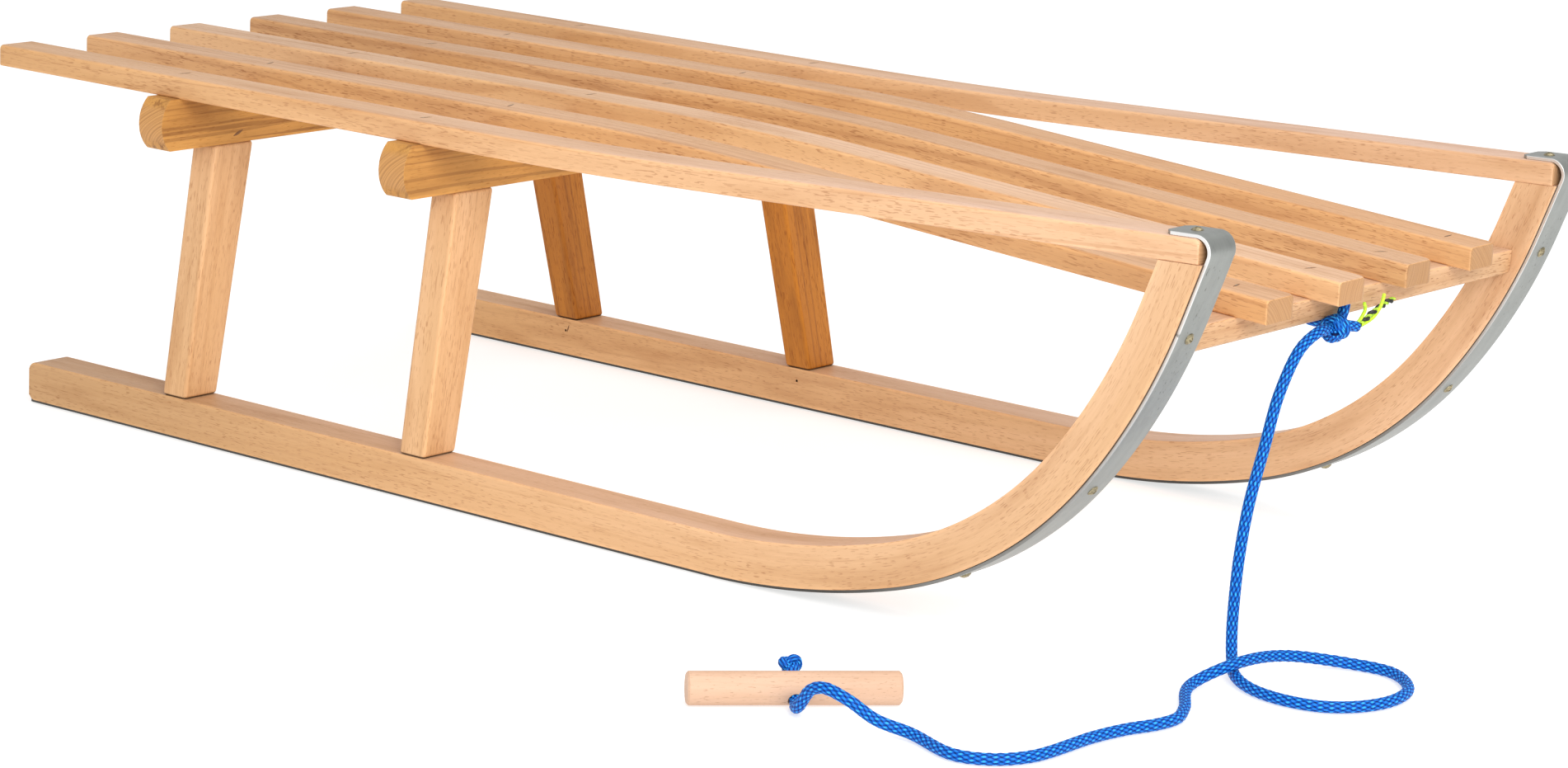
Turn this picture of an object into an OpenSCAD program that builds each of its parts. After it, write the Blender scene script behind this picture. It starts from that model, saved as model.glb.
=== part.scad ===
// Wooden toboggan of the two-crossbeam Davos kind: bent runners with steel rails, splayed legs,
// a six-slat deck that dips between the horns, and a pull rope with a turned handle.
// Millimetres. +X points to the nose, +Y to the left side, +Z up, and the rails stand on Z = 0.

/* [Deck] */
// Length of the outer slats, from tail to nose
deck_length = 880; // [860:5:900]
// Height of the flat part of the deck above the runners' soles
deck_top = 219; // [210:1:230]
// Width of a slat
slat_width = 28; // [24:1:32]
// Thickness of a slat
slat_thickness = 13; // [11:0.5:15]
// Distance from one slat to the next
slat_pitch = 71; // [66:1:74]
// How far the outer slats rise towards the horns
nose_rise = 12.5; // [8:0.5:16]
// How far the inner slats fall towards the nose bar
nose_drop = 28; // [22:1:34]

/* [Runners] */
// Width of a runner
runner_width = 27; // [24:1:30]
// Height of a runner
runner_height = 24; // [20:1:27]
// Distance from the slats' tail to the runners' tail
runner_tail = 28; // [10:1:40]
// Where the sole starts to bend up
bend_start = 577.5; // [570:0.5:585]

/* [Crossbeams and legs] */
// Where the rear crossbeam starts
rear_beam_x = 140; // [130:1:150]
// Where the front crossbeam starts
front_beam_x = 338; // [325:1:350]
// Thickness of a crossbeam along the sled
beam_depth = 20; // [18:1:24]
// Height of a crossbeam
beam_height = 31; // [28:1:34]
// Half the length of a crossbeam's flat top
beam_half_length = 198; // [192:1:204]
// How far a crossbeam's rounded end bulges
beam_bulge = 7; // [4:1:9]
// How far a leg's foot stands ahead of its top
leg_lean = 8; // [0:1:12]

/* [Rails] */
// Width of a rail strip
rail_width = 23; // [20:1:25]
// Thickness of a rail strip
rail_thickness = 2; // [1.5:0.5:2.5]

/* [Rope and handle] */
// Diameter of the pull rope
rope_d = 6; // [5:0.5:6.5]
// Length of the handle
handle_length = 107; // [90:1:120]
// Diameter of the handle
handle_d = 17; // [16:0.5:18]
// Diameter of the hole through the handle
handle_hole_d = 8; // [8:0.5:9]

/* [Hidden] */
$fn = 48;

// Colours
beech = "BurlyWood";
beech_warm = "SandyBrown";
zinc = "Silver";
steel = "DimGray";
rope_blue = "RoyalBlue";
yarn_green = "GreenYellow";

// Deck outline
half_width = (5 * slat_pitch + slat_width) / 2;
deck_bottom = deck_top - slat_thickness;
rise_start = 380;
rise_blend = 180;
drop_start = 390;
drop_blend = 160;
blend_steps = 6;
inner_ends = [880, 879, 877, 875];
inner_corner = 5;
outer_nose_r = 5;
outer_end_gap = 0.5;
rise_slope = nose_rise / (rise_blend / 2 + deck_length - rise_start - rise_blend);
drop_slope = -nose_drop / (drop_blend / 2 + deck_length - drop_start - drop_blend);

// Runner sole: three arcs, one after the other, then a straight horn
bend_radii = [460, 232, 335];
bend_angles = [0, 16, 52, 70];
bend_steps = [6, 14, 7];
horn_angle = bend_angles[3];
tail_radius = 6;
tail_chamfer = 3;

// Rail tab that wraps the front of an outer slat
tab_angle = 180 + atan(rise_slope);
tab_bend = 7;
tab_reach = 19;
tab_corner = 4;

// Rail fixings
shank_r = 1.6;
shank_length = 16;
head_r = 3.2;
head_dome_r = 4.4;
head_height = 1.6;
recess = 0.8;
screw_angles = [26, 50, 68];
flush_screws = [60, 260, 470];
tab_screw_x = deck_length - 8;

// Legs, as seen from the front: half-widths of the outer and inner faces at foot and top
leg_foot_outer = half_width;
leg_foot_inner = half_width - runner_width;
leg_top_outer = 161;
leg_top_inner = 129;
beam_bottom = deck_bottom - beam_height;
leg_height = beam_bottom - runner_height;
top_tenon = [12, 18, 22];
foot_tenon = [12, 14, 16];

// Nose bar
bar_back = 843;
bar_front = 861;
bar_height = 14;
bar_edge_r = 3;
bar_tenon = [12, 15, 8];
glue = 0.05;

// Staples and brads
staple_crown = 10;
staple_leg = 18;
wire = 1.2;
brad_d = 1.6;
brad_length = 14;

// Frame: the row's origin is under the middle of the sled
nose_front = sled_front();
mid_x = nose_front / 2;

// Handle: its centre, its heading in plan, and the tilt of its hole below the horizontal
handle_centre = [316, -341, handle_d / 2];
handle_heading = 47;
hole_tilt = 32;
handle_chamfer = 1;

// Rope: the short end past the knot, whose braid ends after a few rings and shows the core yarns
rope_sides = 10;
rings_per_span = 2;
yarn_r = 1.5;
braid_rings = 3;
tail_route = [
    [421, -21, 165], [422, -8, 162], [423, 4, 167], [424, 16, 171], [424, 27, 173]
];

// Rope route in the row's frame, from the knot on the nose bar to the knot behind the handle
route = [
    [421, -34, 164], [424, -50, 165], [424, -67, 158], [424, -84, 137], [424, -95, 110],
    [424, -106, 82], [424, -112, 54], [424, -114, 27], [426, -117, 14], [432, -125, 5],
    [449, -147, 3.4], [468, -159, 3.1], [489, -162, 3.1], [507, -157, 3.1], [520, -143, 3.1],
    [526, -122, 3.1], [521, -98, 3.1], [500, -79, 3.1], [475, -82, 3.4], [453, -109, 8],
    [447, -145, 9.8], [441, -177, 3.8], [460, -211, 3.1], [467, -228, 3.1], [466, -243, 3.1],
    [460, -261, 3.1], [456, -283, 3.1], [453, -331, 3.1], [442, -349, 3.1], [425, -356, 3.1],
    [392, -346, 3.8], [376, -353, 8.5], [365, -361, 17.5], [352, -363, 21], [343, -362, 18],
    [333, -358, 7], [327, -353, 3.6], [322, -347, 4], [316, -341, 8.5], [308, -334, 15]
];

// ---- Functions ----

// Height change of a slat that blends from level into a straight slope
function flow(x, start, blend, slope) =
    x <= start ? 0 :
    x <= start + blend ? slope * (x - start) * (x - start) / (2 * blend) :
    slope * (x - start - blend / 2);

function slat_stations(start, blend, end) =
    concat([0], [for (i = [0 : blend_steps]) start + blend * i / blend_steps], [end]);

// Side outline of a slat whose top front corner is rounded by nose_r
function slat_outline(start, blend, slope, end, nose_r) =
    let (xs = slat_stations(start, blend, end - nose_r), n = len(xs))
    concat(
        [for (x = xs) [x, deck_top + flow(x, start, blend, slope)]],
        [for (a = [15 : 15 : nose_r > 0 ? 90 : 0])
            let (x = end - nose_r + nose_r * sin(a))
                [x, deck_top + flow(x, start, blend, slope) - nose_r * (1 - cos(a))]],
        [[end, deck_bottom + flow(end, start, blend, slope)]],
        [for (i = [n - 2 : -1 : 0]) [xs[i], deck_bottom + flow(xs[i], start, blend, slope)]]
    );

// Underside of an outer slat at x, near the nose
function outer_under(x) = deck_bottom + flow(x, rise_start, rise_blend, rise_slope);

// Sole point where arc k begins
function arc_start(k) =
    k == 0 ? [bend_start, 0] :
    arc_start(k - 1) + bend_radii[k - 1] * [
        sin(bend_angles[k]) - sin(bend_angles[k - 1]),
        cos(bend_angles[k - 1]) - cos(bend_angles[k])
    ];

// Sole point on arc k where the sole's slope is a
function on_arc(k, a) =
    arc_start(k) + bend_radii[k] * [sin(a) - sin(bend_angles[k]), cos(bend_angles[k]) - cos(a)];

// Shift a sole point at slope a inwards by d
function inwards(p, a, d) = [p[0] - d * sin(a), p[1] + d * cos(a)];

// Sole arcs shifted inwards by d
function bend_points(d) = [
    for (k = [0 : 2])
        for (i = [(k == 0 ? 0 : 1) : bend_steps[k]])
            let (a = bend_angles[k] + (bend_angles[k + 1] - bend_angles[k]) * i / bend_steps[k])
                inwards(on_arc(k, a), a, d)
];

// Top of the horn, on its straight line shifted inwards by d, under the outer slat
function horn_top(d) =
    let (
        p = inwards(arc_start(3), horn_angle, d),
        gap = outer_under(deck_length) + rise_slope * (p[0] - deck_length) - p[1],
        run = gap / (sin(horn_angle) - rise_slope * cos(horn_angle))
    )
    p + run * [cos(horn_angle), sin(horn_angle)];

// Rail tab: where the horn's front line meets the slat's top, and the centre of the bend there
function tab_corner_point() =
    let (
        p = horn_top(0),
        run = slat_thickness / (sin(horn_angle) - rise_slope * cos(horn_angle))
    )
    p + run * [cos(horn_angle), sin(horn_angle)];
function tab_centre() =
    inwards(
        tab_corner_point()
            - tab_bend * tan((tab_angle - horn_angle) / 2) * [cos(horn_angle), sin(horn_angle)],
        horn_angle, tab_bend
    );
function sled_front() = tab_centre()[0] + tab_bend + rail_thickness;

// The rail's face at distance d inside its wood side: negative is outside the wood
function rail_face(d) =
    let (c = tab_centre(), r = tab_bend - d, end_dir = [cos(tab_angle), sin(tab_angle)])
    concat(
        [[runner_tail, d]],
        bend_points(d),
        [for (a = [horn_angle : (tab_angle - horn_angle) / 8 : tab_angle + 0.1])
            c + r * [sin(a), -cos(a)]],
        [c + r * [sin(tab_angle), -cos(tab_angle)] + tab_reach * end_dir]
    );

function reversed(list) = [for (i = [len(list) - 1 : -1 : 0]) list[i]];

// Smooth curve through the route: centripetal tangents, cubic spans
function span_time(a, b) = sqrt(norm(b - a));
function tangent(p, q, s, tp, tq) =
    (q - p) / tp - (s - p) / (tp + tq) + (s - q) / tq;
function hermite(p, q, m, n, t) =
    (2 * t * t * t - 3 * t * t + 1) * p + (t * t * t - 2 * t * t + t) * m
    + (3 * t * t - 2 * t * t * t) * q + (t * t * t - t * t) * n;
function route_at(r, i) =
    i < 0 ? 2 * r[0] - r[1] :
    i >= len(r) ? 2 * r[len(r) - 1] - r[len(r) - 2] :
    r[i];
function smooth_route(r, steps) = concat(
    [for (i = [0 : len(r) - 2])
        let (
            p0 = route_at(r, i - 1), p1 = r[i], p2 = r[i + 1], p3 = route_at(r, i + 2),
            t0 = span_time(p0, p1), t1 = span_time(p1, p2), t2 = span_time(p2, p3),
            m1 = t1 * tangent(p0, p1, p2, t0, t1), m2 = t1 * tangent(p1, p2, p3, t1, t2)
        )
        for (k = [0 : steps - 1]) hermite(p1, p2, m1, m2, k / steps)],
    [r[len(r) - 1]]
);
function unit(v) = v / norm(v);
function direction(c, i) = unit(c[min(i + 1, len(c) - 1)] - c[max(i - 1, 0)]);

// Ring normals carried along the curve without twist
function carried(c, i, before) =
    let (t = direction(c, i)) unit(before - (before * t) * t);
function normals(c, i = 0, before = [0, 0, 1]) =
    i == len(c) ? [] :
    let (n = carried(c, i, before)) concat([n], normals(c, i + 1, n));

// ---- Helpers ----

// From the tail frame of the design to the row's frame
module in_row() {
    translate([-mid_x, 0, rail_thickness]) children();
}

// An outline in X and Z, extruded along Y from y0 over a width
module side_profile(outline, y0, width) {
    translate([0, y0 + width, 0])
        rotate([90, 0, 0])
            linear_extrude(width)
                polygon(outline);
}

// The left side is the right side mirrored
module on_side(side) {
    if (side > 0) {
        mirror([0, 1, 0]) children();
    } else {
        children();
    }
}

// ---- Tenons ----

module leg_tenons(beam_x) {
    top_y = -(leg_top_outer + leg_top_inner) / 2;
    foot_y = -(leg_foot_outer + leg_foot_inner) / 2;
    middle = beam_x + beam_depth / 2;
    translate([middle - top_tenon[0] / 2, top_y - top_tenon[1] / 2, beam_bottom])
        cube(top_tenon);
    translate([middle + leg_lean - foot_tenon[0] / 2, foot_y - foot_tenon[1] / 2,
               runner_height - foot_tenon[2]])
        cube(foot_tenon);
}

// The nose bar lies under the inner slats, a glue line below them, so it shares their slope
module at_bar() {
    middle = (bar_back + bar_front) / 2;
    translate([middle, 0, deck_bottom + flow(middle, drop_start, drop_blend, drop_slope) - glue])
        rotate([0, -atan(drop_slope), 0])
            children();
}

module bar_tenons() {
    for (side = [-1, 1])
        at_bar()
            translate([-bar_tenon[0] / 2, side * leg_foot_inner - (side < 0 ? bar_tenon[1] : 0),
                       -(bar_height + bar_tenon[2]) / 2])
                cube(bar_tenon);
}

// ---- Runners, rails and screws ----

module runner_blank() {
    outline = concat(
        [[runner_tail + tail_chamfer, 0]],
        bend_points(0),
        [horn_top(0), horn_top(runner_height)],
        reversed(bend_points(runner_height)),
        [for (a = [90 : 15 : 180])
            [runner_tail + tail_radius, runner_height - tail_radius]
                + tail_radius * [cos(a), sin(a)]],
        [[runner_tail, tail_chamfer]]
    );
    side_profile(outline, -half_width, runner_width);
}

module runner(side) {
    color(beech)
        in_row()
            difference() {
                on_side(side) runner_blank();
                for (beam_x = [rear_beam_x, front_beam_x])
                    on_side(side) leg_tenons(beam_x);
                bar_tenons();
            }
}

// Places its children on the rail's centre line at slope a, with +Z into the wood
module on_sole(a) {
    k = a < bend_angles[1] ? 0 : a < bend_angles[2] ? 1 : 2;
    p = on_arc(k, a);
    translate([p[0], -half_width + runner_width / 2, p[1]])
        rotate([0, -a, 0])
            children();
}

module at_tab_screw() {
    translate([tab_screw_x, -half_width + slat_width / 2,
               deck_top + flow(tab_screw_x, rise_start, rise_blend, rise_slope)])
        rotate([180, -atan(rise_slope), 0])
            children();
}

module rail(side) {
    outline = concat(rail_face(0), reversed(rail_face(-rail_thickness)));
    inset = (runner_width - rail_width) / 2;
    color(zinc)
        in_row()
            on_side(side)
                difference() {
                    side_profile(outline, -half_width + inset, rail_width);
                    rail_holes();
                    tab_clips();
                }
}

module rail_holes() {
    for (a = screw_angles)
        on_sole(a)
            translate([0, 0, -2 * rail_thickness])
                cylinder(h = 3 * rail_thickness, r = shank_r);
    for (x = flush_screws)
        translate([x, -half_width + runner_width / 2, -2 * rail_thickness])
            cylinder(h = 3 * rail_thickness, r = head_r);
    at_tab_screw()
        translate([0, 0, -2 * rail_thickness])
            cylinder(h = 3 * rail_thickness, r = shank_r);
}

// The clipped corners at the end of the tab
module tab_clips() {
    middle_y = -half_width + runner_width / 2;
    end_x = tab_centre()[0] - tab_reach;
    for (s = [-1, 1])
        translate([end_x, middle_y + s * rail_width / 2, deck_top])
            rotate([0, 0, 45])
                cube([tab_corner * sqrt(2), tab_corner * sqrt(2), 100], center = true);
}

// A domed wood screw with a cross recess; Z = 0 is the face that its head sits on
module domed_screw() {
    difference() {
        union() {
            cylinder(h = shank_length, r = shank_r);
            intersection() {
                translate([0, 0, head_dome_r - head_height]) sphere(r = head_dome_r);
                translate([0, 0, -head_height]) cylinder(h = head_height, r = head_r);
            }
        }
        for (turn = [0, 90])
            rotate([0, 0, turn])
                translate([0, 0, -head_height])
                    cube([head_r, recess, recess], center = true);
    }
}

module rail_screws(side) {
    color(steel)
        in_row()
            on_side(side) {
                for (a = screw_angles)
                    on_sole(a)
                        translate([0, 0, -rail_thickness]) domed_screw();
                for (x = flush_screws)
                    translate([x, -half_width + runner_width / 2, -rail_thickness]) {
                        cylinder(h = rail_thickness, r = head_r);
                        cylinder(h = shank_length, r = shank_r);
                    }
                at_tab_screw()
                    translate([0, 0, -rail_thickness]) domed_screw();
            }
}

// ---- Crossbeams, legs and nose bar ----

module crossbeam(beam_x) {
    end_r = (beam_height * beam_height / 4 + beam_bulge * beam_bulge) / (2 * beam_bulge);
    middle_z = (deck_bottom + beam_bottom) / 2;
    color(beech_warm)
        in_row()
            difference() {
                union() {
                    translate([beam_x, -beam_half_length, beam_bottom])
                        cube([beam_depth, 2 * beam_half_length, beam_height]);
                    intersection() {
                        for (s = [-1, 1])
                            translate([beam_x, s * (beam_half_length + beam_bulge - end_r), middle_z])
                                rotate([0, 90, 0])
                                    cylinder(h = beam_depth, r = end_r, $fn = 96);
                        translate([beam_x, -2 * beam_half_length, beam_bottom])
                            cube([beam_depth, 4 * beam_half_length, beam_height]);
                    }
                }
                for (side = [-1, 1])
                    on_side(side) leg_tenons(beam_x);
            }
}

// A leg tapers towards its foot, splays outwards and leans forwards
module leg(beam_x, side) {
    spare = 6;
    outer_step = (leg_foot_outer - leg_top_outer) * spare / leg_height;
    inner_step = (leg_foot_inner - leg_top_inner) * spare / leg_height;
    outline = [
        [-leg_foot_outer - outer_step, -leg_height - spare],
        [-leg_foot_inner - inner_step, -leg_height - spare],
        [-leg_top_inner + inner_step, spare],
        [-leg_top_outer + outer_step, spare]
    ];
    color(side > 0 ? beech_warm : beech)
        in_row()
            on_side(side) {
                intersection() {
                    translate([beam_x + beam_depth / 2, 0, beam_bottom])
                        rotate([0, -atan(leg_lean / leg_height), 0])
                            translate([-beam_depth / 2, 0, 0])
                                rotate([90, 0, 90])
                                    linear_extrude(beam_depth)
                                        polygon(outline);
                    translate([beam_x - beam_depth, -2 * half_width, runner_height])
                        cube([4 * beam_depth, 2 * half_width, leg_height]);
                }
                leg_tenons(beam_x);
            }
}

module nose_bar() {
    half_depth = (bar_front - bar_back) / 2;
    color(beech)
        in_row() {
            at_bar()
                translate([0, -leg_foot_inner, 0])
                    rotate([-90, 0, 0])
                        linear_extrude(2 * leg_foot_inner)
                            union() {
                                translate([-half_depth, 0])
                                    square([2 * half_depth, bar_height - bar_edge_r]);
                                translate([-half_depth + bar_edge_r, 0])
                                    square([2 * (half_depth - bar_edge_r), bar_height]);
                                for (s = [-1, 1])
                                    translate([s * (half_depth - bar_edge_r), bar_height - bar_edge_r])
                                        circle(r = bar_edge_r);
                            }
            bar_tenons();
        }
}

// ---- Slats ----

// An outer slat ends level with the front of the horn, inside the bend of the rail's tab
module outer_slat(side) {
    end = horn_top(0)[0] - outer_end_gap;
    color(beech)
        in_row()
            on_side(side)
                side_profile(
                    slat_outline(rise_start, rise_blend, rise_slope, end, outer_nose_r),
                    -half_width, slat_width
                );
}

// An inner slat's left front corner is rounded
module inner_slat(number) {
    end = inner_ends[number - 1];
    y = -half_width + slat_pitch * number;
    color(beech)
        in_row()
            difference() {
                side_profile(
                    slat_outline(drop_start, drop_blend, drop_slope, end, 0), y, slat_width
                );
                translate([end - inner_corner, y + slat_width - inner_corner, 0])
                    difference() {
                        cube([2 * inner_corner, 2 * inner_corner, deck_top]);
                        translate([0, 0, -1]) cylinder(h = deck_top + 2, r = inner_corner);
                    }
            }
}

// ---- Staples and brads ----

module staple(skew) {
    rotate([0, 0, skew]) {
        translate([-wire / 2, -staple_crown / 2, -wire]) cube([wire, staple_crown, wire]);
        for (s = [-1, 1])
            translate([-wire / 2, s * (staple_crown - wire) / 2 - wire / 2, -staple_leg])
                cube([wire, wire, staple_leg]);
    }
}

module slat_staples() {
    skews = [12, -18, 8, 20, -10, 15];
    color(steel)
        in_row() {
            for (beam_x = [rear_beam_x, front_beam_x])
                for (i = [0 : 5])
                    translate([beam_x + beam_depth / 2, -half_width + slat_pitch * i + slat_width / 2,
                               deck_top])
                        staple(skews[i]);
            for (i = [1 : 4])
                translate([0, -half_width + slat_pitch * i + slat_width / 2, 0])
                    at_bar()
                        translate([0, 0, slat_thickness + glue]) staple(skews[i] + 8);
        }
}

module leg_brads() {
    color(steel)
        in_row()
            for (side = [-1, 1])
                for (beam_x = [rear_beam_x, front_beam_x])
                    on_side(side)
                        translate([beam_x + beam_depth / 2 + leg_lean, -leg_foot_inner,
                                   runner_height - foot_tenon[2] / 2])
                            rotate([90, 0, 0])
                                cylinder(h = brad_length, d = brad_d);
}

// ---- Rope ----

// A tube along the curve c, with one radius for each of its rings
module tube(c, radii) {
    n = normals(c);
    rings = len(c);
    points = [
        for (i = [0 : rings - 1])
            for (j = [0 : rope_sides - 1])
                let (t = direction(c, i), a = 360 * j / rope_sides)
                    c[i] + radii[i] * (cos(a) * n[i] + sin(a) * cross(t, n[i]))
    ];
    walls = [
        for (i = [0 : rings - 2])
            for (j = [0 : rope_sides - 1])
                let (
                    a = i * rope_sides + j,
                    b = i * rope_sides + (j + 1) % rope_sides
                )
                for (f = [[a, a + rope_sides, b], [b, a + rope_sides, b + rope_sides]]) f
    ];
    caps = [
        [for (j = [0 : rope_sides - 1]) j],
        [for (j = [rope_sides - 1 : -1 : 0]) (rings - 1) * rope_sides + j]
    ];
    polyhedron(points, concat(walls, caps));
}

module pull_rope() {
    c = smooth_route(route, rings_per_span);
    color(rope_blue) tube(c, [for (p = c) rope_d / 2]);
}

// The loop round the nose bar and the knot in front of it
module bar_knot() {
    half_depth = (bar_front - bar_back) / 2;
    loop_y = -15;
    color(rope_blue) {
        in_row()
            translate([0, loop_y, 0])
                at_bar()
                    rotate([90, 0, 0])
                        linear_extrude(rope_d)
                            difference() {
                                union() {
                                    translate([-half_depth - rope_d, -bar_height])
                                        square([2 * (half_depth + rope_d), bar_height]);
                                    translate([-half_depth, -bar_height - rope_d])
                                        square([2 * half_depth, bar_height + 2 * rope_d]);
                                    for (sx = [-1, 1])
                                        for (z = [-bar_height, 0])
                                            translate([sx * half_depth, z]) circle(r = rope_d);
                                }
                                translate([-half_depth, -bar_height])
                                    square([2 * half_depth, bar_height]);
                            }
        translate([421.4, -28, 164])
            scale([1, 1.25, 1.15]) sphere(r = 7);
    }
}

// The short end of the rope and its unravelled core yarns
module rope_tail() {
    c = smooth_route(tail_route, rings_per_span);
    radii = [for (i = [0 : len(c) - 1]) i < braid_rings ? rope_d / 2 : yarn_r];
    color(yarn_green) tube(c, radii);
}

module stop_knot() {
    color(rope_blue)
        translate([306, -332, 16])
            rotate([0, 0, handle_heading])
                scale([1.15, 1, 1]) sphere(r = 6);
}

// ---- Handle ----

module pull_handle() {
    half = handle_length / 2;
    r = handle_d / 2;
    color(beech)
        translate(handle_centre)
            difference() {
                rotate([0, 90, handle_heading])
                    rotate_extrude()
                        polygon([
                            [0, -half], [r - handle_chamfer, -half], [r, -half + handle_chamfer],
                            [r, half - handle_chamfer], [r - handle_chamfer, half], [0, half]
                        ]);
                rotate([0, 90 + hole_tilt, handle_heading - 90])
                    cylinder(h = 2 * handle_d, d = handle_hole_d, center = true);
            }
}

runner(-1);  // runner_right
runner(1);  // runner_left
rail(-1);  // rail_right
rail(1);  // rail_left
crossbeam(rear_beam_x);  // rear_crossbeam
crossbeam(front_beam_x);  // front_crossbeam
leg(rear_beam_x, -1);  // leg_rear_right
leg(rear_beam_x, 1);  // leg_rear_left
leg(front_beam_x, -1);  // leg_front_right
leg(front_beam_x, 1);  // leg_front_left
nose_bar();
outer_slat(-1);  // outer_slat_right
outer_slat(1);  // outer_slat_left
inner_slat(1);  // inner_slat_1
inner_slat(2);  // inner_slat_2
inner_slat(3);  // inner_slat_3
inner_slat(4);  // inner_slat_4
rail_screws(-1);  // rail_screws_right
rail_screws(1);  // rail_screws_left
slat_staples();
leg_brads();
pull_rope();
bar_knot();
rope_tail();
stop_knot();
pull_handle();
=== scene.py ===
import math
import random

import bpy
import numpy as np
from mathutils import Matrix, Vector


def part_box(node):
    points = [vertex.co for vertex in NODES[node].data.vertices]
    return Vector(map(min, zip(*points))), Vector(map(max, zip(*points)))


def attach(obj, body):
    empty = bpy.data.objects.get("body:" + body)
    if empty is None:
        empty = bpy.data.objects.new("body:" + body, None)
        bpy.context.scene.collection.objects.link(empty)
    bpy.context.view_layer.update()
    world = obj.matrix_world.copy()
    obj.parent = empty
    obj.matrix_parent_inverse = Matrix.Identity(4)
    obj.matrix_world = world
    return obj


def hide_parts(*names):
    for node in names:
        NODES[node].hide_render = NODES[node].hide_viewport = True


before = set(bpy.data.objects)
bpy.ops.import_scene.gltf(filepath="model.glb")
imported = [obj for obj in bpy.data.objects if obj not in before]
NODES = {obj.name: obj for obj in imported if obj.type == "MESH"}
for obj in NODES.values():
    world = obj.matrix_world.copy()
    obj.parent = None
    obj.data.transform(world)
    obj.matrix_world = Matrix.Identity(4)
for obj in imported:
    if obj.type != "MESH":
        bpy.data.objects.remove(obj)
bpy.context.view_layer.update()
RNG = random.Random(7)
MM = 0.001
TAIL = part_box("outer_slat_right")[0].x

# ---------------------------------------------------------------- camera
# fitted to the photo by the sled's own edges and corners
AZ, EL, ROLL = (math.radians(a) for a in (38.333, 12.699, 2.517))
CAMERA_AT = (1.5536, -1.9248, 0.6143)
FOCAL_PX = 5161.3
PHOTO_WIDTH_PX = 1902
SENSOR_MM = 36


def make_camera():
    data = bpy.data.cameras.new("camera")
    cam = bpy.data.objects.new("camera", data)
    bpy.context.scene.collection.objects.link(cam)
    data.sensor_width = SENSOR_MM
    data.sensor_fit = "HORIZONTAL"
    data.lens = FOCAL_PX / PHOTO_WIDTH_PX * SENSOR_MM
    data.clip_start, data.clip_end = 0.05, 60
    fwd = Vector((-math.sin(AZ) * math.cos(EL), math.cos(AZ) * math.cos(EL), -math.sin(EL)))
    right = Vector((math.cos(AZ), math.sin(AZ), 0))
    up = right.cross(fwd)
    rolled_right = math.cos(ROLL) * right + math.sin(ROLL) * up
    rolled_up = -math.sin(ROLL) * right + math.cos(ROLL) * up
    m = Matrix((rolled_right, rolled_up, -fwd)).transposed().to_4x4()
    m.translation = Vector(CAMERA_AT)
    cam.matrix_world = m
    bpy.context.scene.camera = cam


make_camera()

# ---------------------------------------------------------------- node helpers


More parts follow.
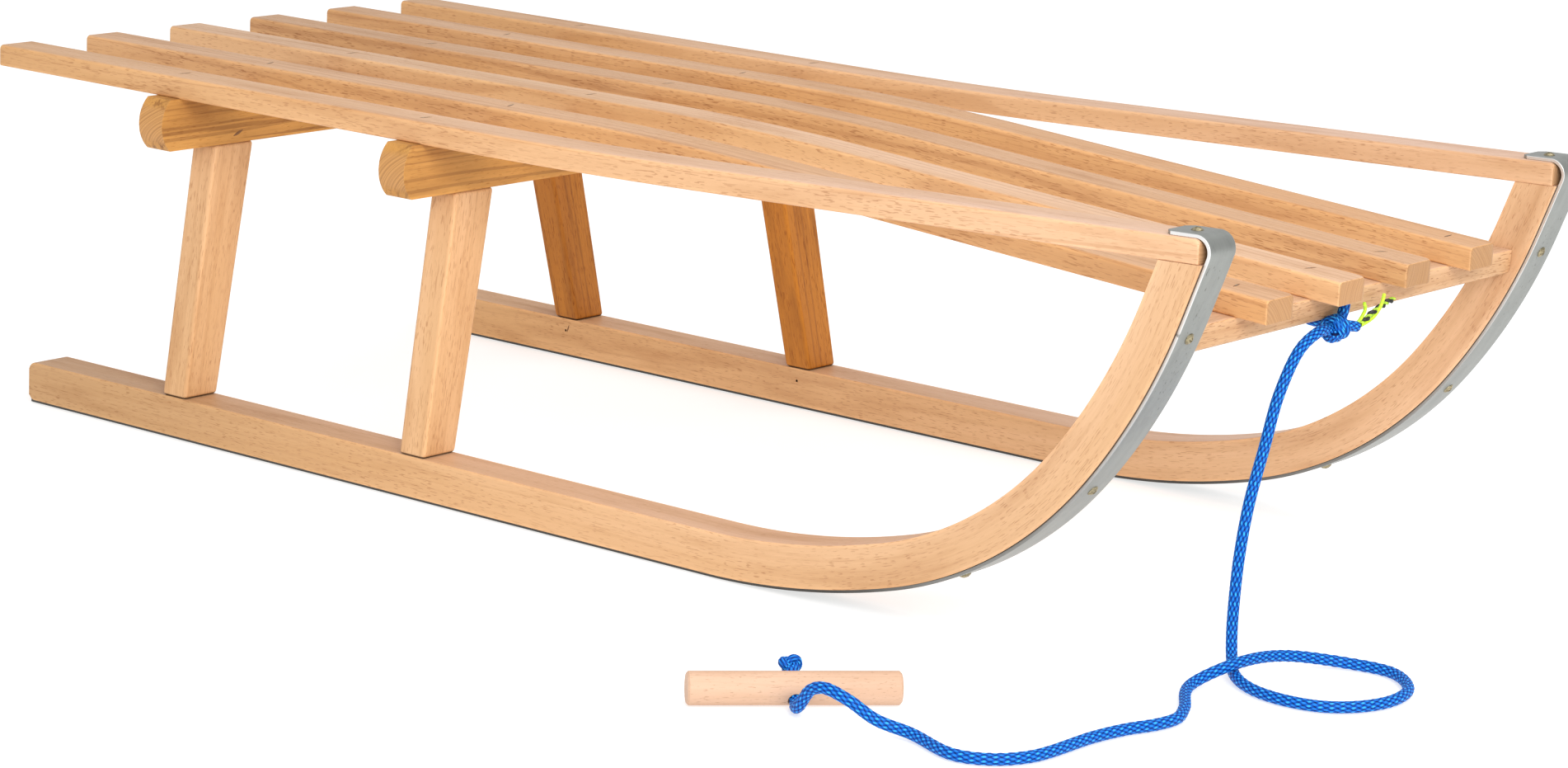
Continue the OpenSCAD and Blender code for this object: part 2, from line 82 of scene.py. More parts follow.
class Graph:
    """Short names for building a shader."""

    def __init__(self, name):
        self.mat = bpy.data.materials.new(name)
        self.mat.use_nodes = True
        self.nt = self.mat.node_tree
        self.bsdf = self.nt.nodes["Principled BSDF"]

    def node(self, kind, **props):
        n = self.nt.nodes.new(kind)
        for k, v in props.items():
            setattr(n, k, v)
        return n

    def put(self, socket, value):
        if isinstance(value, bpy.types.NodeSocket):
            self.nt.links.new(value, socket)
        else:
            socket.default_value = value

    def math(self, op, a, b=None):
        n = self.node("ShaderNodeMath", operation=op)
        self.put(n.inputs[0], a)
        if b is not None:
            self.put(n.inputs[1], b)
        return n.outputs[0]

    def mul(self, a, b):
        return self.math("MULTIPLY", a, b)

    def vmath(self, op, a, b):
        n = self.node("ShaderNodeVectorMath", operation=op)
        self.put(n.inputs[0], a)
        self.put(n.inputs[1], b)
        return n.outputs[0]

    def attr(self, name):
        return self.node("ShaderNodeAttribute", attribute_name=name)

    def split(self, v):
        n = self.node("ShaderNodeSeparateXYZ")
        self.put(n.inputs[0], v)
        return n.outputs

    def join(self, x, y, z):
        n = self.node("ShaderNodeCombineXYZ")
        for i, v in enumerate((x, y, z)):
            self.put(n.inputs[i], v)
        return n.outputs[0]

    def noise(self, v, scale, detail=2.0, rough=0.5, dims="3D", w=None):
        n = self.node("ShaderNodeTexNoise", noise_dimensions=dims)
        if dims != "1D":
            self.put(n.inputs["Vector"], v)
        if w is not None:
            self.put(n.inputs["W"], w)
        n.inputs["Scale"].default_value = scale
        n.inputs["Detail"].default_value = detail
        n.inputs["Roughness"].default_value = rough
        return n.outputs[0]

    def stretched(self, place, along, over, detail, rough=0.5):
        """Noise drawn out along the grain; place is (along, across, up)."""
        s, y, h = place
        drawn = self.join(self.mul(s, along), self.mul(y, over), self.mul(h, over))
        return self.noise(drawn, 1.0, detail, rough)

    def range(self, v, a, b, c=0.0, d=1.0, smooth=False):
        n = self.node("ShaderNodeMapRange", interpolation_type="SMOOTHSTEP" if smooth else "LINEAR")
        self.put(n.inputs[0], v)
        for i, x in enumerate((a, b, c, d)):
            n.inputs[i + 1].default_value = x
        return n.outputs[0]

    def smoothstep(self, v, a, b):
        """From 0 at a to 1 at b, with soft ends."""
        return self.range(v, a, b, 0, 1, True)

    def object_position(self):
        return self.node("ShaderNodeTexCoord").outputs["Object"]

    def tint(self, colour, by):
        return self.mix(1.0, colour, by, "MULTIPLY")

    def mix(self, fac, a, b, mode="MIX"):
        n = self.node("ShaderNodeMix", data_type="RGBA", blend_type=mode)
        self.put(n.inputs[0], fac)
        self.put(n.inputs[6], a if isinstance(a, bpy.types.NodeSocket) else (*a, 1))
        self.put(n.inputs[7], b if isinstance(b, bpy.types.NodeSocket) else (*b, 1))
        return n.outputs[2]

    def bump(self, height, strength, distance, normal=None):
        n = self.node("ShaderNodeBump")
        n.inputs["Strength"].default_value = strength
        n.inputs["Distance"].default_value = distance
        self.put(n.inputs["Height"], height)
        if normal is not None:
            self.put(n.inputs["Normal"], normal)
        return n.outputs[0]

    def set(self, **values):
        for k, v in values.items():
            self.put(self.bsdf.inputs[k.replace("_", " ")], v)


# ---------------------------------------------------------------- materials
# the tint of the painted sky reflection on upward-facing wood
SKY_REFLECTION_TINT = (0.97, 1.03, 1.26)
# the scale of the growth rings, over the distance from the pith in metres
RINGS = 330.0


def wood(name, base, warm, dark, fleck=1.0, streak=0.5, lines=0.0, ring_mix=0.38, gloss=0.35,
         end_axis=None, end_tint=(1.0, 1.0, 1.0), rail_gap_shadow=False, foot=False, fade=False):
    """Beech. The mesh says where each point lies: grain is its place along and across the wood,
    measured from the pith, sect its place in the section, and half the section's half sizes."""
    g = Graph(name)
    s, y, h = g.split(g.attr("grain").outputs["Vector"])
    u, v, above = g.split(g.attr("sect").outputs["Vector"])
    hw, ht, tone = g.split(g.attr("half").outputs["Vector"])
    normal = g.node("ShaderNodeNewGeometry").outputs["Normal"]
    nz = g.split(normal)[2]

    def stretched(*how):
        return g.stretched((s, y, h), *how)

    # growth rings round the pith
    wob = stretched(2.6, 12, 2)
    r = g.math("SQRT", g.math("ADD", g.mul(y, y), g.mul(h, h)))
    r = g.math("ADD", r, g.mul(wob, 0.018))
    ring = g.noise(None, RINGS, 2, 0.6, dims="1D", w=r)
    ring_line = g.smoothstep(ring, 0.54, 0.66)
    # fibres, colour drift and flecks, all drawn out along the grain
    fibre = stretched(14, 900, 3, 0.6)
    drift = stretched(2.2, 30, 3, 0.55)
    cloud = stretched(9, 70, 3, 0.6)
    flecks = g.smoothstep(stretched(190, 1750, 0), 0.64, 0.71)
    long_flecks = g.smoothstep(stretched(95, 1500, 1, 0.4), 0.69, 0.75)
    spread = g.range(stretched(20, 60, 1), 0.35, 0.6, 0.4, 1.0)
    flecks = g.mul(g.math("MAXIMUM", flecks, long_flecks), spread)
    col = g.mix(g.range(drift, 0.3, 0.7), base, warm)
    col = g.mix(g.mul(g.range(cloud, 0.50, 0.72), streak), col, dark)
    col = g.mix(g.mul(ring_line, ring_mix), col, dark)
    if lines:
        # brown streaks in patches
        thin = g.smoothstep(stretched(7, 330, 2, 0.6), 0.53, 0.64)
        patch = g.smoothstep(stretched(5, 25, 1), 0.40, 0.58)
        col = g.mix(g.mul(g.mul(thin, patch), lines), col, dark)
    col = g.mix(g.mul(g.range(fibre, 0.35, 0.75), 0.30), col, g.tint(col, (0.84, 0.77, 0.70)))
    # the upper faces are painted paler and less orange: a painted reflection of the bright sky in
    # the varnish
    top = g.smoothstep(nz, 0.75, 0.97)
    col = g.mix(top, col, g.tint(col, SKY_REFLECTION_TINT))
    dark_fleck = g.mul(g.math("SUBTRACT", 0.66, g.mul(top, 0.32)), fleck)
    col = g.mix(g.mul(flecks, dark_fleck), col, g.tint(col, (0.50, 0.34, 0.23)))
    # the corners are painted lighter: partly rubbed wear, partly a painted highlight along the
    # rounded edges
    dy = g.mul(g.math("SUBTRACT", 1.0, g.math("ABSOLUTE", u)), hw)
    dh = g.mul(g.math("SUBTRACT", 1.0, g.math("ABSOLUTE", v)), ht)
    edge_wear_and_highlight = g.range(g.math("MAXIMUM", dy, dh), 0.0006, 0.0024, 1, 0, True)
    wear_and_highlight_patches = stretched(60, 60, 2)
    edge_wear_and_highlight = g.mul(edge_wear_and_highlight, g.range(wear_and_highlight_patches, 0.3, 0.6, 0.35, 1.0))
    col = g.mix(g.mul(edge_wear_and_highlight, 0.6), col, g.tint(col, (1.25, 1.24, 1.22)))
    if end_axis:
        # end grain: the rings show as arcs, and no flecks
        n = g.node("ShaderNodeVectorMath", operation="DOT_PRODUCT")
        g.put(n.inputs[0], normal)
        g.put(n.inputs[1], end_axis)
        ends = g.smoothstep(g.math("ABSOLUTE", n.outputs["Value"]), 0.80, 0.93)
        pores = g.noise(g.join(0.0, g.mul(y, 2400), g.mul(h, 2400)), 1.0, 2, 0.6)
        fine = g.noise(None, RINGS * 2.6, 1, 0.5, dims="1D", w=r)
        cut = g.mix(g.mul(g.smoothstep(fine, 0.40, 0.65), 0.38), g.mix(0.5, base, warm), dark)
        cut = g.mix(g.mul(g.range(pores, 0.45, 0.65), 0.35), cut, g.tint(cut, (0.75, 0.66, 0.58)))
        cut = g.tint(cut, end_tint)
        col = g.mix(ends, col, cut)
    if rail_gap_shadow:
        # painted shadow: the dark line where the rail lies against the wood
        low = g.range(v, -0.955, -0.92, 1, 0, True)
        near = g.range(g.math("ABSOLUTE", u), 0.89, 0.95, 1, 0, True)
        col = g.mix(g.mul(g.mul(low, near), 0.9), col, (0.05, 0.025, 0.012))
    if foot:
        # the shadow gap where the leg stands on the runner
        col = g.mix(g.range(above, 0.0007, 0.0016, 0.92, 0.0), col, (0.035, 0.016, 0.008))
    if fade:
        # yellower towards the tail, paler towards the nose
        x = g.split(g.object_position())[0]
        by_place = g.mix(g.range(x, -0.34, 0.34), (0.99, 0.94, 0.80), (1.02, 1.07, 1.20))
        col = g.tint(col, by_place)
    col = g.tint(col, g.join(tone, tone, tone))
    rough = g.range(cloud, 0.3, 0.7, 0.42, 0.58)
    rough = g.math("ADD", rough, g.mul(flecks, 0.15))
    b = g.bump(g.math("ADD", g.mul(fibre, 0.5), g.mul(flecks, -0.7)), 0.25, 0.0003)
    b = g.bump(cloud, 0.10, 0.0008, b)
    g.set(Base_Color=col, Roughness=rough, Normal=b)
    g.bsdf.inputs["Coat Weight"].default_value = 0.10
    g.bsdf.inputs["Coat Roughness"].default_value = 0.34
    g.bsdf.inputs["Specular IOR Level"].default_value = gloss
    return g.mat


def galvanised():
    """Zinc-coated steel strip, brushed along its length, with a painted highlight on its cut edges.
    """
    g = Graph("galvanised")
    s, y, h = g.split(g.attr("grain").outputs["Vector"])
    u = g.split(g.attr("sect").outputs["Vector"])[0]
    height = g.split(g.object_position())[2]

    def marks(along, over, detail, rough=0.5, seed=0.0):
        return g.noise(g.join(g.mul(s, along), g.mul(y, over), seed), 1.0, detail, rough)

    spangle = g.node("ShaderNodeTexVoronoi", feature="F1")
    g.put(spangle.inputs["Vector"], g.join(g.mul(s, 150), g.mul(y, 220), h))
    spangle.inputs["Scale"].default_value = 1.0
    cell = g.split(spangle.outputs["Color"])[0]
    brush = marks(30, 3000, 3, 0.7)
    drift = marks(14, 60, 3, 0.6)
    scuff = g.smoothstep(marks(170, 420, 2, 0.6, 3.0), 0.64, 0.72)
    where = g.smoothstep(marks(16, 10, 1, 0.5, 9.0), 0.50, 0.62)
    scuff = g.mul(scuff, where)
    # a patch of short random scuffs high on the horn
    tick = g.smoothstep(marks(260, 560, 3, 0.7, 5.0), 0.60, 0.66)
    band = g.mul(g.smoothstep(height, 0.140, 0.155), g.range(height, 0.188, 0.202, 1, 0, True))
    band = g.mul(band, g.range(g.math("ABSOLUTE", u), 0.45, 0.7, 1, 0, True))
    scuff = g.math("MAXIMUM", scuff, g.mul(tick, band))
    col = g.mix(g.range(drift, 0.3, 0.7), (0.245, 0.255, 0.24), (0.32, 0.33, 0.31))
    col = g.mix(g.mul(cell, 0.10), col, (0.50, 0.52, 0.51))
    col = g.mix(g.mul(g.range(brush, 0.4, 0.75), 0.25), col, (0.52, 0.54, 0.53))
    # the cut edges carry a painted highlight, brighter round the bend, and are darker low down
    # under the flat of the runner
    cut = g.range(g.math("ABSOLUTE", u), 0.965, 0.985)
    cut_edge_highlight = g.mix(g.range(height, 0.06, 0.19), (0.26, 0.26, 0.25), (0.86, 0.86, 0.85))
    edge_col = g.mix(g.smoothstep(height, 0.006, 0.035), (0.06, 0.055, 0.05), cut_edge_highlight)
    col = g.mix(g.mul(cut, 0.9), col, edge_col)
    col = g.mix(g.mul(scuff, 0.75), col, (0.10, 0.10, 0.09))
    rough = g.range(brush, 0.3, 0.7, 0.30, 0.50)
    b = g.bump(brush, 0.08, 0.0002)
    b = g.bump(drift, 0.12, 0.0015, b)
    g.set(Base_Color=col, Metallic=0.9, Roughness=rough, Normal=b)
    return g.mat


def plated(name, light, dark):
    """Small metal parts: plating with darker patches."""
    g = Graph(name)
    pos = g.object_position()
    n1 = g.noise(pos, 900, 3, 0.6)
    n2 = g.noise(pos, 160, 2)
    col = g.mix(g.range(n1, 0.35, 0.7), light, dark)
    col = g.mix(g.mul(g.range(n2, 0.5, 0.7), 0.5), col, dark)
    rough = g.range(n1, 0.3, 0.7, 0.28, 0.5)
    g.set(Base_Color=col, Metallic=1.0, Roughness=rough, Normal=g.bump(n1, 0.15, 0.0002))
    return g.mat


def braid_material(name, deep, mid, light):
    """The strand's own height, and which way it leans, come from the mesh."""
    g = Graph(name)
    top, lean = g.split(g.attr("braid").outputs["Vector"])[:2]
    fil = g.noise(g.attr("lay").outputs["Vector"], 1.0, 2, 0.6)
    wear = g.noise(g.object_position(), 45, 2)
    # painted shade: the low parts of the plait, between the strands, are deep
    col = g.mix(g.smoothstep(top, 0.20, 0.70), deep, mid)
    # the crowns of one family's strands are light: partly lighter strands, partly a painted
    # highlight
    light_strand_and_highlight = g.mul(g.smoothstep(top, 0.62, 0.98), g.range(lean, 0.3, 0.7, 0.35, 1.0))
    col = g.mix(light_strand_and_highlight, col, light)
    col = g.mix(g.mul(g.range(fil, 0.35, 0.7), 0.35), col, g.tint(col, (1.2, 1.25, 1.15)))
    col = g.mix(g.mul(g.range(wear, 0.45, 0.7), 0.2), col, g.tint(col, (0.75, 0.8, 0.9)))
    rough = g.range(fil, 0.3, 0.7, 0.38, 0.6)
    g.set(Base_Color=col, Roughness=rough, Normal=g.bump(fil, 0.35, 0.0002))
    g.bsdf.inputs["Specular IOR Level"].default_value = 0.16
    return g.mat


def yarn_material(name, light, deep):
    """A loose yarn: strands that lean one way are light on top, and the others deep. The light tops
    are partly a painted highlight, and the low parts of those strands painted shade.
    """
    g = Graph(name)
    top, lean = g.split(g.attr("braid").outputs["Vector"])[:2]
    fil = g.noise(g.attr("lay").outputs["Vector"], 1.0, 2, 0.6)
    col = g.mix(g.mul(g.range(top, 0.15, 0.6), lean), deep, light)
    col = g.mix(g.mul(g.range(fil, 0.4, 0.7), 0.4), col, g.tint(col, (0.7, 0.75, 0.6)))
    g.set(Base_Color=col, Roughness=0.5, Normal=g.bump(fil, 0.4, 0.0002))
    return g.mat


HANDLE_CENTRE = (0.316, -0.341, 0.0085)
HANDLE_TURN = math.radians(-47)
HANDLE_PITH = 0.045


def handle_material():
    """Beech along the handle, with its pith outside the wood. The handle is a CAD node, so its
    grain is worked out from where it lies."""
    g = Graph("handle_beech")
    m = g.node("ShaderNodeMapping", vector_type="POINT")
    g.put(m.inputs["Vector"], g.vmath("SUBTRACT", g.object_position(), HANDLE_CENTRE))
    m.inputs["Rotation"].default_value = (0, 0, HANDLE_TURN)
    s, y, h = g.split(m.outputs[0])
    y2 = g.math("ADD", y, HANDLE_PITH)
    wob = g.stretched((s, y, h), 6, 20, 2)
    r = g.math("SQRT", g.math("ADD", g.mul(y2, y2), g.mul(h, h)))
    r = g.math("ADD", r, g.mul(wob, 0.010))
    ring = g.noise(None, 420, 2, 0.6, dims="1D", w=r)
    fibre = g.stretched((s, y, h), 20, 1100, 3, 0.6)
    cloud = g.stretched((s, y, h), 12, 80, 3, 0.6)
    flecks = g.smoothstep(g.stretched((s, y, h), 300, 1900, 1, 0.4), 0.64, 0.73)
    col = g.mix(g.range(cloud, 0.3, 0.7), (0.69, 0.455, 0.315), (0.61, 0.375, 0.24))
    col = g.mix(g.mul(g.smoothstep(ring, 0.55, 0.72), 0.25), col, (0.46, 0.28, 0.16))
    col = g.mix(g.mul(flecks, 0.55), col, (0.34, 0.18, 0.09))
    b = g.bump(g.math("ADD", g.mul(fibre, 0.5), g.mul(flecks, -0.7)), 0.25, 0.0003)
    g.set(Base_Color=col, Roughness=g.range(fibre, 0.3, 0.7, 0.5, 0.65), Normal=b)
    return g.mat


X_AXIS, Y_AXIS = (1, 0, 0), (0, 1, 0)
WOOD_SLAT = wood(
    "beech_slat", (0.78, 0.465, 0.25), (0.68, 0.385, 0.18), (0.50, 0.24, 0.095),
    fleck=0.75, end_axis=X_AXIS, end_tint=(0.80, 0.74, 0.66), fade=True,
)
WOOD_INNER = wood(
    "beech_inner", (0.74, 0.415, 0.19), (0.64, 0.335, 0.13), (0.44, 0.19, 0.065),
    fleck=0.95, end_axis=X_AXIS, end_tint=(0.76, 0.75, 0.73),
)
WOOD_PALE = wood(
    "beech_pale", (0.78, 0.475, 0.25), (0.68, 0.39, 0.175), (0.47, 0.215, 0.08),
    fleck=0.95, end_axis=X_AXIS, end_tint=(0.72, 0.66, 0.58),
)
WOOD_RUNNER = wood(
    "beech_runner", (0.74, 0.45, 0.24), (0.65, 0.37, 0.17), (0.46, 0.22, 0.085),
    fleck=0.7, rail_gap_shadow=True, ring_mix=0.14, fade=True,
)
WOOD_BEAM = wood(
    "beech_beam", (0.635, 0.328, 0.09), (0.545, 0.25, 0.052), (0.20, 0.07, 0.014),
    fleck=0.6, streak=0.35, end_axis=Y_AXIS, lines=0.55, gloss=0.26, end_tint=(1.0, 1.04, 1.42),
)
WOOD_BAR = wood(
    "beech_bar", (0.72, 0.45, 0.25), (0.65, 0.375, 0.18), (0.47, 0.23, 0.09),
)
WOOD_LEG = wood(
    "beech_leg", (0.745, 0.46, 0.25), (0.655, 0.375, 0.173), (0.46, 0.22, 0.08),
    fleck=0.75, streak=0.45, foot=True, ring_mix=0.18,
)
# the far legs: a darker, browner copy of the leg wood, partly browner wood and partly painted shade
WOOD_LEG_BROWN_SHADED = wood(
    "beech_leg_brown_shaded", (0.56, 0.21, 0.022), (0.43, 0.145, 0.012), (0.23, 0.068, 0.008),
    streak=0.7, foot=True, gloss=0.20,
)
ZINC = galvanised()
SCREW = plated("screw_plating", (0.50, 0.43, 0.27), (0.20, 0.165, 0.10))
STAPLE = plated("staple_wire", (0.20, 0.17, 0.14), (0.08, 0.07, 0.06))
ROPE = braid_material("rope_braid", (0.0, 0.006, 0.055), (0.0, 0.098, 0.53), (0.05, 0.47, 1.0))
CORE = yarn_material("core_yarns", (0.58, 0.88, 0.05), (0.30, 0.50, 0.03))
CORE_DARK = yarn_material("core_dark", (0.024, 0.026, 0.022), (0.004, 0.004, 0.004))
NEON = yarn_material("core_tips", (0.66, 1.0, 0.03), (0.50, 0.85, 0.03))
HANDLE = handle_material()

# ---------------------------------------------------------------- mesh helpers


def make_object(name, verts, faces, mat, body="sled", slot=None, replaces=()):
    me = bpy.data.meshes.new(name)
    me.from_pydata([tuple(v) for v in verts], [], faces)
    me.validate()
    me.update()
    o = bpy.data.objects.new(name, me)
    bpy.context.scene.collection.objects.link(o)
    me.materials.append(mat)
    me.shade_smooth()
    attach(o, body)
    if replaces:
        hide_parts(*replaces)
    return o


def outward(verts, faces):
    """Flips every face if the closed mesh is inside out."""
    v = np.array(verts, float)
    vol = 0.0
    for f in faces:
        for i in range(1, len(f) - 1):
            vol += np.dot(v[f[0]], np.cross(v[f[i]], v[f[i + 1]]))
    return faces if vol > 0 else [list(reversed(f)) for f in faces]


def soften(o, width, segments=2, angle=32):
    """Rounded edges, applied, so that the grain can be worked out on the final mesh."""
    m = o.modifiers.new("round", "BEVEL")
    m.width = width
    m.segments = segments
    m.limit_method = "ANGLE"
    m.angle_limit = math.radians(angle)
    m.harden_normals = True
    dg = bpy.context.evaluated_depsgraph_get()
    final = o.evaluated_get(dg)
    me = bpy.data.meshes.new_from_object(final, preserve_all_data_layers=True, depsgraph=dg)
    old = o.data
    o.modifiers.clear()
    o.data = me
    bpy.data.meshes.remove(old)


def add_vectors(o, name, values):
    a = o.data.attributes.get(name) or o.data.attributes.new(name, "FLOAT_VECTOR", "POINT")
    a.data.foreach_set("vector", np.asarray(values, np.float32).ravel())


TAIL_FADE = 0.42


def grain_along(o, line, half, pith, tone=1.0, across="y", tail_tone=1.0, tilt=0.0):
    """Writes each point's place in the wood. line is the piece's middle line, as points
    (along, up) in the plane of its bend, and across is the axis that isn't in that plane.
    The tone runs from tail_tone at the line's start to 1 over TAIL_FADE metres."""
    co = np.array([v.co for v in o.data.vertices], float)
    flat = co[:, [0, 2]] if across == "y" else co[:, [1, 2]]
    other = co[:, 1] if across == "y" else co[:, 0]
    p = np.array(line, float)
    seg = p[1:] - p[:-1]
    lens = np.linalg.norm(seg, axis=1)
    at = np.concatenate([[0], np.cumsum(lens)])
    d = flat[:, None] - p[None, :-1]
    t = (d * seg).sum(2) / (lens**2)
    # only the line's two ends run on past their segments
    tc = t.copy()
    tc[:, 1:] = np.maximum(tc[:, 1:], 0)
    tc[:, :-1] = np.minimum(tc[:, :-1], 1)
    off = d - tc[:, :, None] * seg
    dist = np.linalg.norm(off, axis=2)
    k = dist.argmin(1)
    rows = np.arange(len(co))
    s = at[k] + tc[rows, k] * lens[k]
    tang = seg[k] / lens[k][:, None]
    h = tang[:, 0] * off[rows, k, 1] - tang[:, 1] * off[rows, k, 0]
    mid = (other.max() + other.min()) / 2
    y = other - mid
    shift = RNG.uniform(0, 40)
    add_vectors(o, "grain", np.stack([s + shift, y - pith[0], h - pith[1] - tilt * s], 1))
    add_vectors(o, "sect", np.stack([y / half[0], h / half[1], 0 * h], 1))
    fade = np.clip(s / TAIL_FADE, 0, 1)
    tones = tone * (tail_tone + (1 - tail_tone) * fade * fade * (3 - 2 * fade))
    add_vectors(o, "half", np.stack([0 * s + half[0], 0 * s + half[1], tones], 1))


def strip_faces(n, ring):
    """Quads between n rings of the given size, with both ends closed."""
    faces = []
    for i in range(n - 1):
        for j in range(ring):
            a, b = i * ring + j, i * ring + (j + 1) % ring
            faces.append([a, b, b + ring, a + ring])
    faces.append(list(range(ring))[::-1])
    faces.append([(n - 1) * ring + j for j in range(ring)])
    return faces


def rect_sweep(name, rings, mat, **kw):
    """rings: four corners each."""
    verts = [v for r in rings for v in r]
    return make_object(name, verts, outward(verts, strip_faces(len(rings), 4)), mat, **kw)


# ---------------------------------------------------------------- the design's numbers
# The same as in part.scad: millimetres, x from the sled's tail and z from the runner's sole.
DECK_TOP, SLAT_T, SLAT_W, PITCH, HALF_W = 219.0, 13.0, 28.0, 71.0, 191.5
SLAT_END = 880
INNER_ENDS = (880, 879, 877, 875)
SLAT_R_TOP, SLAT_R_LOW = 2.8, 1.2
# a slat's flow: where it starts to bend, how long the bend is, and its slope after it
RISE = (380.0, 180.0, 12.5 / (SLAT_END - 380 - 180 / 2))
DROP = (390.0, 160.0, -28.0 / (SLAT_END - 390 - 160 / 2))
# the bend of runner and rail: three arcs, with the angle at which each starts and ends
RADII, ANGLES = (460.0, 232.0, 335.0), (0.0, 16.0, 52.0, 70.0)
BEND_END = ANGLES[-1]
BEND_A = [float(a) for a in range(int(BEND_END) + 1)]
BEND_START, RUNNER_TAIL, RUNNER_H, RUNNER_W = 577.5, 28.0, 24.0, 27.0
TAIL_R, TAIL_CHAMFER = 6, 3
RAIL_T, RAIL_HALF_W = 2.0, 11.5
TAB_R = 7.0
TAB_STEPS, TAB_TAPER = (5, 10, 15, 17, 19), (0, 2, 4)
REAR_BEAM_X, FRONT_BEAM_X = 140, 338
BEAM_Z0, BEAM_Z1, BEAM_W = 175.0, 206.0, 20
BEAM_END, BEAM_DOME = 205, 7
BEAM_MID, BEAM_HALF_H = (BEAM_Z0 + BEAM_Z1) / 2, (BEAM_Z1 - BEAM_Z0) / 2
LEG_TOP_OUT, LEG_TOP_IN, LEG_LEAN = 161, 129, 8
BAR_X, BAR_HALF_W, BAR_DEPTH, BAR_R = 852.0, 9, 14, 3


def P(x, y, z):
    """From the design's millimetres to the part's frame in metres."""
    return Vector((TAIL + x * MM, y * MM, (z + RAIL_T) * MM))


def P2(x, z):
    """The same for a point (along, up)."""
    return (TAIL + x * MM, (z + RAIL_T) * MM)


def flow(x, kind):
    """How far a slat has risen or dropped at x."""
    start, blend, slope = kind
    if x <= start:
        return 0.0
    if x <= start + blend:
        return slope * (x - start) ** 2 / (2 * blend)
    return slope * (x - start - blend / 2)


def sind(a):
    return math.sin(math.radians(a))


def cosd(a):
    return math.cos(math.radians(a))


def arc_start(k):
    """Where the bend's arc k begins, on the sole."""
    x, z = BEND_START, 0.0
    for i in range(k):
        x += RADII[i] * (sind(ANGLES[i + 1]) - sind(ANGLES[i]))
        z += RADII[i] * (cosd(ANGLES[i]) - cosd(ANGLES[i + 1]))
    return x, z


def sole(a, d=0.0):
    """The bent runner at angle a, d above its sole."""
    k = 0 if a < ANGLES[1] else 1 if a < ANGLES[2] else 2
    x0, z0 = arc_start(k)
    x = x0 + RADII[k] * (sind(a) - sind(ANGLES[k]))
    z = z0 + RADII[k] * (cosd(ANGLES[k]) - cosd(a))
    return x - d * sind(a), z + d * cosd(a)


def horn_top(d):
    """Where the straight horn, d above its sole, meets the outer slat's lower face."""
    x, z = sole(BEND_END, d)
    gap = DECK_TOP - SLAT_T + flow(SLAT_END, RISE) + RISE[2] * (x - SLAT_END) - z
    run = gap / (sind(BEND_END) - RISE[2] * cosd(BEND_END))
    return x + run * cosd(BEND_END), z + run * sind(BEND_END)


# ---------------------------------------------------------------- slats
# the outer slats stop short of the rail tab, so that the dark gap there shows
OUTER_END = horn_top(0)[0] - 2.0
# numbered from the right
SLATS = (
    ("outer_slat_right", WOOD_SLAT, 1.0),
    ("inner_slat_1", WOOD_INNER, 0.97),
    ("inner_slat_2", WOOD_PALE, 1.0),
    ("inner_slat_3", WOOD_INNER, 0.90),
    ("inner_slat_4", WOOD_INNER, 0.95),
    ("outer_slat_left", WOOD_SLAT, 0.93),
)
END_ROUND = 0.7
SUPPORT = 0.4


def rounded(y0, y1, z0, z1, d):
    """A slat's section: rounded corners, each with a support point on both sides, shrunk by d."""
    pts = []
    corners = (
        (y0, z1, SLAT_R_TOP, 180), (y1, z1, SLAT_R_TOP, 90),
        (y1, z0, SLAT_R_LOW, 0), (y0, z0, SLAT_R_LOW, -90),
    )
    for y, z, r, a0 in corners:
        sy = 1 if y == y0 else -1
        sz = 1 if z == z0 else -1
        cy, cz = y + sy * r, z + sz * r
        q = max(r - d, 0.15)
        arc = [(cy + q * cosd(a0 - t), cz + q * sind(a0 - t)) for t in (0, 18, 36, 54, 72, 90)]
        flat, upright = (SUPPORT * sy, 0.0), (0.0, SUPPORT * sz)
        before, after = (upright, flat) if a0 in (180, 0) else (flat, upright)
        first = (arc[0][0] + before[0], arc[0][1] + before[1])
        last = (arc[-1][0] + after[0], arc[-1][1] + after[1])
        pts += [first] + arc + [last]
    return pts


def rounding(to_end, r):
    """How far a corner of radius r has drawn in at this distance from the end."""
    return r - math.sqrt(max(0.0, r**2 - (r - to_end) ** 2)) if to_end < r else 0.0


